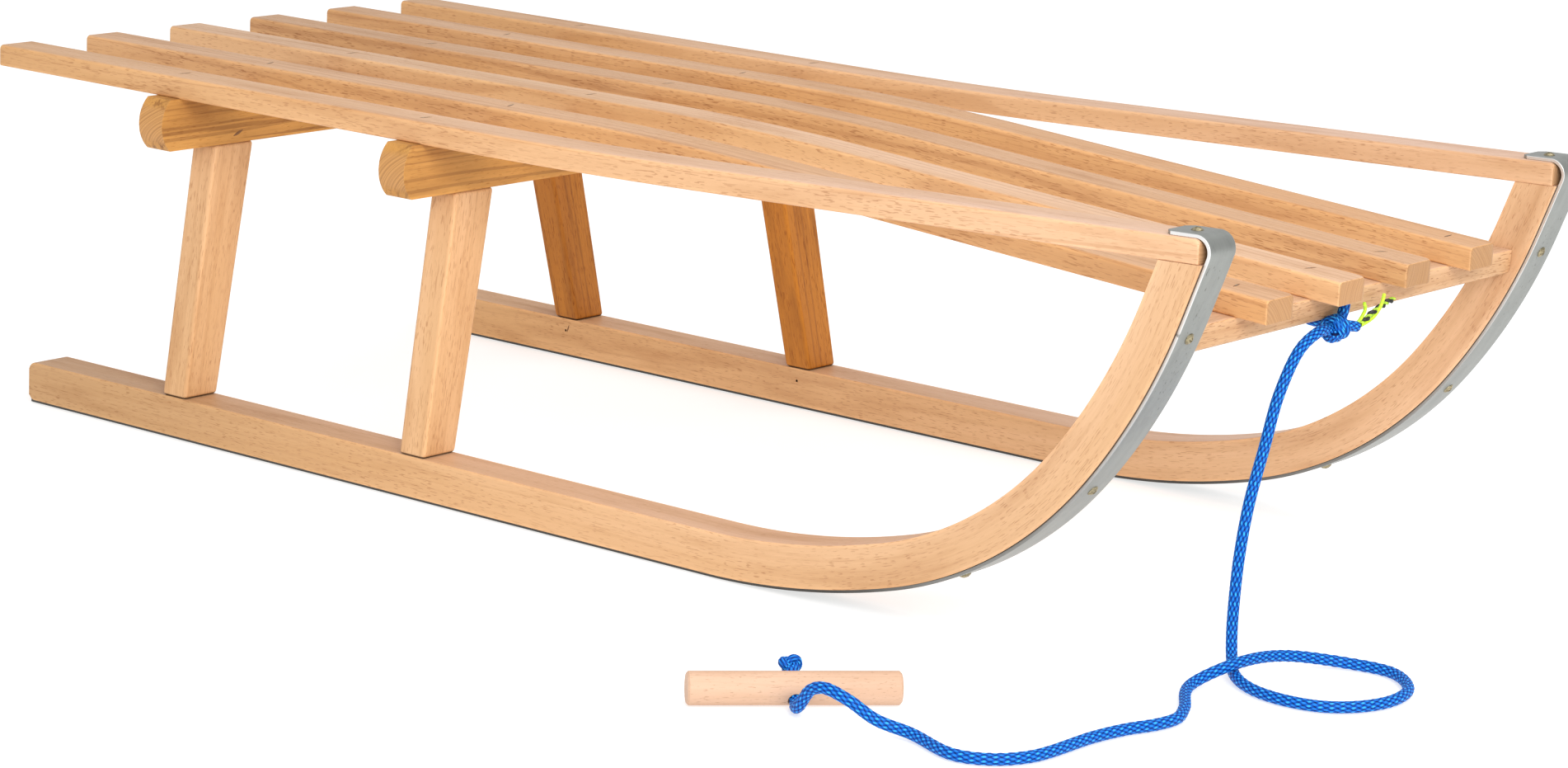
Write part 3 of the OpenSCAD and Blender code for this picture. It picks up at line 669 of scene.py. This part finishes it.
def slat(i, name, mat, tone):
    outer = i in (0, 5)
    kind = RISE if outer else DROP
    end = OUTER_END if outer else INNER_ENDS[i - 1]
    y0 = -HALF_W + PITCH * i
    y1 = y0 + SLAT_W
    # seen from above, the inner slats have their left front corner cut round
    corner_left = 0.9 if outer else 5.0
    corner_right = 0.9 if outer else 0.8
    nose_r = 4.0 if outer else 0.0
    xs = [0, 0.1, 0.35, 0.7, 1.2]
    xs += list(np.linspace(8, 370, 14)) + list(np.linspace(380, end - 8, 40))
    xs += [end - 5 + 5 * sind(t) for t in (0, 15, 30, 42, 52, 62, 70, 76, 81, 85, 90)]
    rings = []
    for x in xs + [end]:
        top = DECK_TOP + flow(x, kind)
        low = top - SLAT_T
        inset = max(rounding(x, END_ROUND), rounding(end - x, END_ROUND))
        if len(rings) == len(xs):
            inset = END_ROUND + 0.3
        left = y1 - rounding(end - x, corner_left)
        right = y0 + rounding(end - x, corner_right)
        top -= rounding(end - x, nose_r)
        section = rounded(right, left, low, top, inset)
        rings.append([P(x, y, z) for y, z in section])
    section = rounded(y0, y1, DECK_TOP - SLAT_T, DECK_TOP, END_ROUND + 0.3)
    rings = [[P(0, y, z) for y, z in section]] + rings
    verts = [v for r in rings for v in r]
    faces = outward(verts, strip_faces(len(rings), len(rings[0])))
    o = make_object("wood_" + name, verts, faces, mat, slot="beech", replaces=[name])
    line = [P2(x, DECK_TOP - SLAT_T / 2 + flow(x, kind)) for x in xs]
    ang = RNG.uniform(0, 2 * math.pi)
    dist = RNG.uniform(0.018, 0.06)
    pith = (dist * math.cos(ang), dist * math.sin(ang))
    tilt = RNG.uniform(-0.02, 0.02)
    size = (SLAT_W / 2 * MM, SLAT_T / 2 * MM)
    grain_along(o, line, size, pith, tone, tail_tone=0.88, tilt=tilt)


for number, (slat_name, slat_wood, slat_tone) in enumerate(SLATS):
    slat(number, slat_name, slat_wood, slat_tone)

# ---------------------------------------------------------------- runners


def runner(side):
    rings = []
    y0, y1 = side * HALF_W, side * (HALF_W - RUNNER_W)

    def ring(b, t):
        rings.append([P(b[0], y0, b[1]), P(b[0], y1, b[1]), P(t[0], y1, t[1]), P(t[0], y0, t[1])])

    for t in (0, 18, 36, 54, 72, 90):
        x = RUNNER_TAIL + TAIL_R * (1 - cosd(t))
        low = max(0.0, TAIL_CHAMFER - (x - RUNNER_TAIL))
        ring((x, low), (x, RUNNER_H - TAIL_R + TAIL_R * sind(t)))
    for x in np.linspace(40, BEND_START - 8, 26):
        ring((x, 0), (x, RUNNER_H))
    for a in BEND_A:
        ring(sole(a), sole(a, RUNNER_H))
    ring(horn_top(0), horn_top(RUNNER_H))
    node = "runner_right" if side < 0 else "runner_left"
    o = rect_sweep("wood_" + node, rings, WOOD_RUNNER, slot="beech", replaces=[node])
    soften(o, 1.8 * MM, 3)
    mid = RUNNER_H / 2
    line = [P2(x, mid) for x in (RUNNER_TAIL, 300, BEND_START - 8)]
    line += [P2(*sole(a, mid)) for a in BEND_A] + [P2(*horn_top(mid))]
    # the near runner is darker towards its tail
    tail_tone = 0.74 if side < 0 else 1.0
    size = (RUNNER_W / 2 * MM, mid * MM)
    grain_along(o, line, size, (side * 0.05, -0.06), tail_tone=tail_tone)


for sd in (-1, 1):
    runner(sd)

# ---------------------------------------------------------------- rails


def rail(side):
    """The strip lies under the runner, and its top end is folded back over the slat as a tab."""
    si, co = sind(BEND_END), cosd(BEND_END)
    tab_angle = 180 + math.degrees(math.atan(RISE[2]))
    top0 = horn_top(0)
    run = SLAT_T / (si - RISE[2] * co)
    corner = (top0[0] + run * co, top0[1] + run * si)
    tangent = TAB_R * math.tan(math.radians((tab_angle - BEND_END) / 2))
    start = (corner[0] - tangent * co, corner[1] - tangent * si)
    c = (start[0] - TAB_R * si, start[1] + TAB_R * co)

    def face(d):
        pts = [(RUNNER_TAIL, d), (200, d), (400, d)]
        pts += [sole(a, d) for a in BEND_A]
        r = TAB_R - d
        for a in np.linspace(BEND_END, tab_angle, 19):
            pts.append((c[0] + r * sind(a), c[1] - r * cosd(a)))
        base = pts[-1]
        for q in TAB_STEPS:
            pts.append((base[0] + q * cosd(tab_angle), base[1] + q * sind(tab_angle)))
        return pts

    inner, outer = face(0.0), face(-RAIL_T)
    widths = [RAIL_HALF_W] * (len(inner) - len(TAB_TAPER)) + [RAIL_HALF_W - w for w in TAB_TAPER]
    mid = side * (HALF_W - RUNNER_W / 2)
    rings = []
    for p, q, w in zip(inner, outer, widths):
        a, b = mid - w, mid + w
        rings.append([P(q[0], a, q[1]), P(q[0], b, q[1]), P(p[0], b, p[1]), P(p[0], a, p[1])])
    node = "rail_right" if side < 0 else "rail_left"
    o = rect_sweep("steel_" + node, rings, ZINC, slot="rail_steel", replaces=[node])
    soften(o, 0.35 * MM, 2)
    line = [P2((p[0] + q[0]) / 2, (p[1] + q[1]) / 2) for p, q in zip(inner, outer)]
    grain_along(o, line, (RAIL_HALF_W * MM, RAIL_T / 2 * MM), (0, 0))


for sd in (-1, 1):
    rail(sd)

# ---------------------------------------------------------------- crossbeams, legs and nose bar
# the radius of a beam's domed ends, from their height and how far they stand out
END_R = (BEAM_HALF_H**2 + BEAM_DOME**2) / (2 * BEAM_DOME)


def crossbeam(x0, word):
    dome_start = BEAM_END - BEAM_DOME
    yc = BEAM_END - END_R
    tip = [-205, -204.7, -204, -203, -201.5, -200, -198]
    rings = []
    for y in tip + list(np.linspace(-190, 190, 24)) + [-v for v in reversed(tip)]:
        hz = BEAM_HALF_H
        if abs(y) > dome_start:
            hz = min(hz, math.sqrt(max(0.2, END_R**2 - (abs(y) - yc) ** 2)))
        x1, z0, z1 = x0 + BEAM_W, BEAM_MID - hz, BEAM_MID + hz
        rings.append([P(x0, y, z0), P(x1, y, z0), P(x1, y, z1), P(x0, y, z1)])
    o = rect_sweep("wood_" + word, rings, WOOD_BEAM, slot="beech_warm", replaces=[word])
    soften(o, 1.2 * MM, 3, 40)
    line = [(y * MM, (BEAM_MID + RAIL_T) * MM) for y in (-BEAM_END, 0, BEAM_END)]
    grain_along(o, line, (BEAM_W / 2 * MM, BEAM_HALF_H * MM), (0.03, -0.035), across="x")


crossbeam(REAR_BEAM_X, "rear_crossbeam")
crossbeam(FRONT_BEAM_X, "front_crossbeam")


def leg_face(side, foot, head, t):
    """How far out a leg's face is, t of the way from y = foot to y = head."""
    return side * (foot - (foot - head) * t)


def leg(beam_x, side, word, mat, tone):
    z0, z1 = RUNNER_H, BEAM_Z0
    outer_face = (side, HALF_W, LEG_TOP_OUT)
    inner_face = (side, HALF_W - RUNNER_W, LEG_TOP_IN)
    rings = []
    for i in range(9):
        t = i / 8
        z = z0 + (z1 - z0) * t
        yo, yi = leg_face(*outer_face, t), leg_face(*inner_face, t)
        x = beam_x + LEG_LEAN * (1 - t)
        rings.append([P(x, yo, z), P(x + BEAM_W, yo, z), P(x + BEAM_W, yi, z), P(x, yi, z)])
    slot = "beech_warm" if side > 0 else "beech"
    o = rect_sweep("wood_" + word, rings, mat, slot=slot, replaces=[word])
    soften(o, 2.4 * MM, 4)
    # the leg leans and tapers, so its grain follows its own middle line at each height
    co = np.array([v.co for v in o.data.vertices], float)
    t = (co[:, 2] / MM - RAIL_T - z0) / (z1 - z0)
    yo, yi = leg_face(*outer_face, t) * MM, leg_face(*inner_face, t) * MM
    y = co[:, 1] - (yo + yi) / 2
    x = co[:, 0] - (TAIL + (beam_x + LEG_LEAN * (1 - t) + BEAM_W / 2) * MM)
    half_y, half_x = np.abs(yo - yi) / 2, BEAM_W / 2 * MM
    shift = RNG.uniform(0, 40)
    ang, dist = RNG.uniform(0, 6.28), RNG.uniform(0.03, 0.06)
    grain = (co[:, 2] + shift, y - dist * math.cos(ang), x - dist * math.sin(ang))
    add_vectors(o, "grain", np.stack(grain, 1))
    above = co[:, 2] - (z0 + RAIL_T) * MM
    add_vectors(o, "sect", np.stack([y / half_y, x / half_x * 0.9, above], 1))
    add_vectors(o, "half", np.stack([half_y, 0 * x + half_x, 0 * x + tone], 1))


leg(REAR_BEAM_X, -1, "leg_rear_right", WOOD_LEG, 1.0)
leg(FRONT_BEAM_X, -1, "leg_front_right", WOOD_LEG, 1.04)
leg(REAR_BEAM_X, 1, "leg_rear_left", WOOD_LEG_BROWN_SHADED, 1.0)
leg(FRONT_BEAM_X, 1, "leg_front_left", WOOD_LEG_BROWN_SHADED, 1.08)

BAR_SLOPE = math.atan(DROP[2])
BAR_TOP = DECK_TOP - SLAT_T + flow(BAR_X, DROP)


def nose_bar():
    """A bar with its two lower edges rounded, square to the inner slats' slope."""
    si, co = math.sin(BAR_SLOPE), math.cos(BAR_SLOPE)
    half = HALF_W - RUNNER_W

    def at(dx, y, dz):
        return P(BAR_X + dx * co - dz * si, y, BAR_TOP + dx * si + dz * co)

    x, z = BAR_HALF_W - BAR_R, BAR_R - BAR_DEPTH
    prof = [(-BAR_HALF_W, 0), (BAR_HALF_W, 0)]
    prof += [(x + BAR_R * sind(t), z - BAR_R * cosd(t)) for t in (90, 60, 30, 0)]
    prof += [(-x - BAR_R * sind(t), z - BAR_R * cosd(t)) for t in (0, 30, 60, 90)]
    rings = [[at(dx, y, dz) for dx, dz in prof] for y in np.linspace(-half, half, 24)]
    verts = [v for r in rings for v in r]
    faces = outward(verts, strip_faces(len(rings), len(prof)))
    o = make_object("wood_nose_bar", verts, faces, WOOD_BAR, slot="beech", replaces=["nose_bar"])
    soften(o, 0.8 * MM, 2, 50)
    mid = at(0, 0, -BAR_DEPTH / 2).z
    line = [(y * MM, mid) for y in (-half, 0, half)]
    size = (BAR_HALF_W * MM, BAR_DEPTH / 2 * MM)
    grain_along(o, line, size, (0.05, 0.02), 0.97, across="x")


nose_bar()

# ---------------------------------------------------------------- rope
# Places on the rope are in millimetres, in the part's own frame. ROUTE is the same as in
# part.scad: from the knot on the nose bar, over the ground, to the stop knot.
ROUTE = [
    (421, -34, 164), (424, -50, 165), (424, -67, 158), (424, -84, 137), (424, -95, 110),
    (424, -106, 82), (424, -112, 54), (424, -114, 27), (426, -117, 14), (432, -125, 5),
    (449, -147, 3.4), (468, -159, 3.1), (489, -162, 3.1), (507, -157, 3.1), (520, -143, 3.1),
    (526, -122, 3.1), (521, -98, 3.1), (500, -79, 3.1), (475, -82, 3.4), (453, -109, 8),
    (447, -145, 9.8), (441, -177, 3.8), (460, -211, 3.1), (467, -228, 3.1), (466, -243, 3.1),
    (460, -261, 3.1), (456, -283, 3.1), (453, -331, 3.1), (442, -349, 3.1), (425, -356, 3.1),
    (392, -346, 3.8), (376, -353, 8.5), (365, -361, 17.5), (352, -363, 21), (343, -362, 18),
    (333, -358, 7), (327, -353, 3.6), (322, -347, 4), (316, -341, 8.5), (308, -334, 15),
]


def smooth(points, steps):
    """The same centripetal curve as the CAD's, in metres."""
    p = [np.array(v, float) for v in points]
    out = []
    for i in range(len(p) - 1):
        p0 = p[i - 1] if i else 2 * p[0] - p[1]
        p1, p2 = p[i], p[i + 1]
        p3 = p[i + 2] if i + 2 < len(p) else 2 * p[-1] - p[-2]
        t0, t1, t2 = (math.sqrt(np.linalg.norm(b - a)) for a, b in ((p0, p1), (p1, p2), (p2, p3)))
        m1 = t1 * ((p1 - p0) / t0 - (p2 - p0) / (t0 + t1) + (p2 - p1) / t1)
        m2 = t1 * ((p2 - p1) / t1 - (p3 - p1) / (t1 + t2) + (p3 - p2) / t2)
        for k in range(steps):
            t = k / steps
            out.append(
                (2 * t**3 - 3 * t * t + 1) * p1 + (t**3 - 2 * t * t + t) * m1
                + (3 * t * t - 2 * t**3) * p2 + (t**3 - t * t) * m2
            )
    out.append(p[-1])
    return np.array(out) * MM


def even(curve, step):
    """The curve again, with points a fixed step apart."""
    seg = np.linalg.norm(np.diff(curve, axis=0), axis=1)
    s = np.concatenate([[0], np.cumsum(seg)])
    n = max(2, int(round(s[-1] / step)) + 1)
    t = np.linspace(0, s[-1], n)
    return np.stack([np.interp(t, s, curve[:, i]) for i in range(3)], 1)


TUBE_STEP = 0.0007


def tangents(curve):
    """The direction at each point."""
    t = np.gradient(curve, axis=0)
    return t / np.linalg.norm(t, axis=1)[:, None]


def braided_tube(name, curve, radius, mat, strands=8, pitch=0.0105, depth=0.00046, sides=40, **kw):
    """A tube whose surface carries a plait: two families of strands, over two and under two."""
    c = even(curve, TUBE_STEP)
    n = len(c)
    t = tangents(c)
    normal = np.cross(t[0], [0.3, 0.2, 1.0])
    normal /= np.linalg.norm(normal)
    verts, braid, lay = [], [], []
    s = 0.0
    for i in range(n):
        if i:
            s += float(np.linalg.norm(c[i] - c[i - 1]))
        normal = normal - np.dot(normal, t[i]) * t[i]
        normal /= np.linalg.norm(normal)
        side = np.cross(t[i], normal)
        for j in range(sides):
            a = 2 * math.pi * j / sides
            # qa and qb count the strands of the two families, which wind opposite ways
            qa = strands * j / sides + s / pitch * 2
            qb = strands * j / sides - s / pitch * 2
            over = (math.floor(qa) + math.floor(qb)) % 2 == 0
            q, other = (qa, qb) if over else (qb, qa)
            up = math.sin(math.pi * (q - math.floor(q)))
            cross = math.sin(math.pi * (other % 1.0))
            height = up**0.6 * (0.55 + 0.45 * cross)
            r = radius + depth * (height - 0.6)
            verts.append(c[i] + r * (math.cos(a) * normal + math.sin(a) * side))
            braid.append((height, 1.0 if over else 0.0, s))
            lay.append((q * 7.0, s * 260.0 + (3.0 if over else 0.0), 1.0 if over else 5.0))
    o = make_object(name, verts, outward(verts, strip_faces(n, sides)), mat, **kw)
    add_vectors(o, "braid", braid)
    add_vectors(o, "lay", lay)
    return o


rope_line = smooth(ROUTE, 24)
rope = braided_tube("rope", rope_line, 0.00295, ROPE, slot="rope_blue", replaces=["pull_rope"])


def coil_knot(name, centre, axis, wraps, radius, tube, rise):
    """A few tight turns of the rope round its own standing part."""
    axis = np.array(axis, float)
    axis /= np.linalg.norm(axis)
    a = np.cross(axis, [0.2, 0.1, 1.0])
    a /= np.linalg.norm(a)
    b = np.cross(axis, a)
    whole = wraps * 2 * math.pi
    pts = []
    for i in range(int(wraps * 24) + 1):
        th = 2 * math.pi * i / 24
        out = radius * (math.cos(th) * a + math.sin(th) * b)
        pts.append(np.array(centre) + out + axis * rise * (th / whole - 0.5))
    return braided_tube(name, np.array(pts) * MM, tube * MM, ROPE, slot="rope_blue")


def overhand(name, centre, size, tube, turn, **kw):
    """An overhand knot drawn tight: a trefoil, opened at one place."""
    pts = []
    m = Matrix.Rotation(turn, 3, "Z") @ Matrix.Rotation(0.9, 3, "X")
    for i in range(97):
        t = 0.25 + (2 * math.pi - 0.5) * i / 96
        v = Vector((
            math.sin(t) + 2 * math.sin(2 * t),
            math.cos(t) - 2 * math.cos(2 * t),
            -math.sin(3 * t) * 1.1,
        ))
        v = m @ (v * (size / 3.0))
        pts.append(np.array(centre) + np.array(v))
    return braided_tube(name, np.array(pts) * MM, tube * MM, ROPE, slot="rope_blue", **kw)


# the loop round the nose bar, the knot in front of it and the short end
bar_x = TAIL / MM + BAR_X
bar_z = RAIL_T + BAR_TOP - BAR_DEPTH / 2
# round the bar's section from its front top to its front bottom: forwards, up, part of the way
ROUND_BAR = (
    (12, 3, 0), (9, 10, 0.08), (0, 10.3, 0.2), (-9, 9.8, 0.32), (-12, 3, 0.42),
    (-12, -4, 0.55), (-8, -10, 0.66), (0, -10.4, 0.78), (7, -9.6, 0.9),
)
LOOP_Y0, LOOP_Y1 = -18, -25
loop_pts = [(421, -23, 167)]
for dx, dz, part in ROUND_BAR:
    across = LOOP_Y0 + (LOOP_Y1 - LOOP_Y0) * part
    x, z = bar_x + dx * math.cos(BAR_SLOPE), bar_z + dz + dx * math.sin(BAR_SLOPE)
    loop_pts.append((x, across, z))
loop_pts.append((419, -30, 163))
loop_line = smooth(loop_pts, 12)
loop = braided_tube("knot_loop", loop_line, 0.0029, ROPE, slot="rope_blue", replaces=["bar_knot"])
wrap = coil_knot("knot_wraps", (421, -28.5, 164), (0.15, 1.0, 0.15), 2.3, 4.4, 2.7, 9.5)
turn = coil_knot("knot_turn", (421.5, -27.5, 164), (0.9, 0.5, 0.4), 1.1, 4.8, 2.6, 4.0)
tail_line = smooth([(421, -22, 165), (421.5, -15, 163.5), (422, -8, 162)], 10)
stub = braided_tube("rope_stub", tail_line, 0.0028, ROPE, slot="rope_blue", replaces=["rope_tail"])
# the loose core yarns that stick out of the short end
YARN = [
    [(422, -9, 162.4), (422.5, -3, 164), (423, 5, 167.5), (423.6, 16, 171.2), (424, 25, 173.2)],
    [(422, -9, 161.6), (423, -2, 163), (424, 6, 166), (424.4, 12, 171.6), (424, 15, 177)],
    [(421.6, -9, 162.8), (421.8, -4, 165.6), (422.4, -1, 170.5), (422.8, -3, 174.2)],
]


def wound(curve, radius, pitch, phase):
    """A curve wound round another one, for two yarns twisted together."""
    step = 0.0005
    c = even(curve, step)
    t = tangents(c)
    side = np.cross(t, [0.9, 0.1, 0.2])
    side /= np.linalg.norm(side, axis=1)[:, None]
    up = np.cross(t, side)
    a = np.arange(len(c)) * step / pitch * 2 * math.pi + phase
    return c + radius * (np.cos(a)[:, None] * side + np.sin(a)[:, None] * up)


def yarn(name, curve, radius, mat):
    plait = {"strands": 3, "pitch": 0.006, "depth": 0.00022, "sides": 14}
    return braided_tube(name, curve, radius, mat, slot="rope_core", **plait)


TWIST_R, TWIST_PITCH = 0.0008, 0.0075
twist = smooth(YARN[0], 12)
yarns = [
    yarn("core_yarn_1", wound(twist, TWIST_R, TWIST_PITCH, 0.0), 0.0007, CORE),
    yarn("core_yarn_dark", wound(twist, TWIST_R, TWIST_PITCH, math.pi), 0.00105, CORE_DARK),
    yarn("core_yarn_2", smooth(YARN[1], 12), 0.00095, NEON),
    yarn("core_yarn_3", smooth(YARN[2], 12), 0.00095, NEON),
]
STOP_AT, STOP_TURN = (306, -332, 16), math.radians(47)
stop = overhand("stop_knot_turns", STOP_AT, 4.2, 2.35, STOP_TURN, replaces=["stop_knot"])

# ---------------------------------------------------------------- nodes that keep their CAD shape
for node, mat in (
    ("pull_handle", HANDLE),
    ("rail_screws_right", SCREW),
    ("rail_screws_left", SCREW),
    ("leg_brads", STAPLE),
):
    NODES[node].data.materials.clear()
    NODES[node].data.materials.append(mat)

# ---------------------------------------------------------------- staples
PRESSED = plated("pressed_wire", (0.36, 0.30, 0.23), (0.12, 0.085, 0.06))


def slit_material():
    """The dark slit round a staple: painted shade in the slot where the staple is sunk into the
    wood.
    """
    g = Graph("staple_slit")
    n = g.noise(g.object_position(), 2200, 2, 0.6)
    col = g.mix(g.range(n, 0.35, 0.65), (0.11, 0.045, 0.016), (0.30, 0.14, 0.055))
    g.set(Base_Color=col, Roughness=0.8, Normal=g.bump(n, 0.4, 0.0002))
    return g.mat


SLIT = slit_material()


def add_lens(verts, faces, centre, along, across, up, length, width, rise):
    """A low lens-shaped sliver on a face: pointed at both ends, crowned along its middle."""
    n0 = len(verts)
    steps = 8
    for i in range(steps + 1):
        t = -1 + 2 * i / steps
        w = width * (1 - t * t) + 0.02 * MM
        mid = centre + along * (t * length)
        low, shoulder = -0.3 * MM, 0.6 * rise
        for side, height in ((-1, low), (-0.9, shoulder), (0, rise), (0.9, shoulder), (1, low)):
            verts.append(mid + across * (w * side) + up * height)
    for f in strip_faces(steps + 1, 5):
        faces.append([n0 + k for k in f])


SLIT_HALF_L, SLIT_HALF_W, SLIT_RISE = 4.6 * MM, 0.75 * MM, 0.05 * MM
WIRE_HALF_W, WIRE_RISE, WIRE_LIFT = 0.42 * MM, 0.16 * MM, 0.04 * MM
# for each slat: how far its staples are turned, in degrees
SKEWS = (12, -18, 8, 20, -10, 15)
# for each slat: how much wire shows over a crossbeam and over the nose bar
SHOWN_BEAM = (3.8, 5.2, 2.2, 3.0, 2.6, 2.4)
SHOWN_BAR = (0, 2.6, 1.6, 2.4, 3.6)
# two worn marks, on the rear beam's front face and on the left runner's inner face:
# middle, directions along it, across it and out of the face, half length, half width
BEAM_MARK = P(REAR_BEAM_X + BEAM_W, -142.5, 180.9)
RUNNER_MARK = P(160, HALF_W - RUNNER_W, 17.5)
MARKS = (
    (BEAM_MARK, (0, 0.93, 0.37), (0, -0.37, 0.93), (1, 0, 0), 4.4, 1.0),
    (RUNNER_MARK, (0.3, 0, 0.95), (0.95, 0, -0.3), (0, -1, 0), 2.8, 0.5),
)


def staples():
    slit_v, slit_f, wire_v, wire_f = [], [], [], []
    middle = BEAM_W / 2
    places = []
    for x in (REAR_BEAM_X, FRONT_BEAM_X):
        places += [(x + middle, i, SKEWS[i], SHOWN_BEAM[i]) for i in range(6)]
    places += [(BAR_X, i, SKEWS[i] + 8, SHOWN_BAR[i]) for i in range(1, 5)]
    for x, i, skew, shown in places:
        kind = RISE if i in (0, 5) else DROP
        grad = (flow(x + 1, kind) - flow(x - 1, kind)) / 2
        up = Vector((-grad, 0, 1)).normalized()
        a = math.radians(skew)
        along = Vector((math.sin(a), math.cos(a), 0))
        along = (along - up * along.dot(up)).normalized()
        across = up.cross(along)
        centre = P(x, -HALF_W + PITCH * i + SLAT_W / 2, DECK_TOP + flow(x, kind))
        # a low dark sliver, painted as the shade in the staple's sunk slot
        add_lens(slit_v, slit_f, centre, along, across, up, SLIT_HALF_L, SLIT_HALF_W, SLIT_RISE)
        centre = centre + along * (RNG.uniform(-1.2, 1.2) * MM) + up * WIRE_LIFT
        length = shown * 0.8 * MM
        add_lens(wire_v, wire_f, centre, along, across, up, length, WIRE_HALF_W, WIRE_RISE)
    for centre, along, across, up, length, width in MARKS:
        axes = (Vector(along), Vector(across), Vector(up))
        add_lens(slit_v, slit_f, centre, *axes, length * MM, width * MM, SLIT_RISE)
    make_object("staple_slits", slit_v, slit_f, SLIT, slot="beech", replaces=["slat_staples"])
    make_object("staple_crowns", wire_v, wire_f, PRESSED, slot="fastener_steel")


staples()

# ---------------------------------------------------------------- floor and light


FLOOR_HALF = 14.0
FLOOR_DROP = 0.0004
FLOOR_GLOW = 0.62
# how bright the white backdrop is as a light, and as the camera sees it
BACK_LIGHT, BACK_SEEN = 0.72, 1.0
# name, place, aim, size, watts
LIGHTS = (
    ("key", (2.2, -1.6, 1.6), (0.25, 0, 0.1), (1.6, 1.4), 58),
    ("side", (-0.4, -2.4, 1.6), (0, 0, 0.1), (2.2, 1.4), 4),
    ("top", (0.7, 0.5, 2.6), (0.1, 0, 0.1), (2.4, 1.8), 17),
)


def make_stage():
    me = bpy.data.meshes.new("floor")
    r = FLOOR_HALF
    me.from_pydata([(-r, -r, 0), (r, -r, 0), (r, r, 0), (-r, r, 0)], [], [(0, 1, 2, 3)])
    o = bpy.data.objects.new("floor", me)
    bpy.context.scene.collection.objects.link(o)
    o.location.z = -FLOOR_DROP
    g = Graph("floor_paint")
    n = g.noise(g.object_position(), 3.0, 3)
    col = g.mix(g.range(n, 0.3, 0.7), (0.50, 0.50, 0.50), (0.52, 0.52, 0.52))
    g.set(Base_Color=col, Roughness=0.9)
    g.bsdf.inputs["Specular IOR Level"].default_value = 0.1
    g.bsdf.inputs["Emission Color"].default_value = (1, 1, 1, 1)
    g.bsdf.inputs["Emission Strength"].default_value = FLOOR_GLOW
    me.materials.append(g.mat)


def area(name, loc, target, size, power):
    d = bpy.data.lights.new(name, "AREA")
    d.shape = "RECTANGLE"
    d.size, d.size_y = size
    d.energy = power
    o = bpy.data.objects.new(name, d)
    bpy.context.scene.collection.objects.link(o)
    o.location = loc
    o.rotation_mode = "QUATERNION"
    o.rotation_quaternion = (Vector(target) - Vector(loc)).to_track_quat("-Z", "Y")


def backdrop():
    world = bpy.data.worlds.new("world")
    bpy.context.scene.world = world
    world.use_nodes = True
    tree = world.node_tree
    background = tree.nodes["Background"]
    background.inputs["Color"].default_value = (1, 1, 1, 1)
    rays = tree.nodes.new("ShaderNodeLightPath")
    seen = tree.nodes.new("ShaderNodeMapRange")
    seen.inputs["To Min"].default_value = BACK_LIGHT
    seen.inputs["To Max"].default_value = BACK_SEEN
    tree.links.new(rays.outputs["Is Camera Ray"], seen.inputs["Value"])
    tree.links.new(seen.outputs["Result"], background.inputs["Strength"])


make_stage()
backdrop()
for light in LIGHTS:
    area(*light)
bpy.context.scene.view_settings.view_transform = "Standard"
bpy.context.scene.view_settings.look = "None"
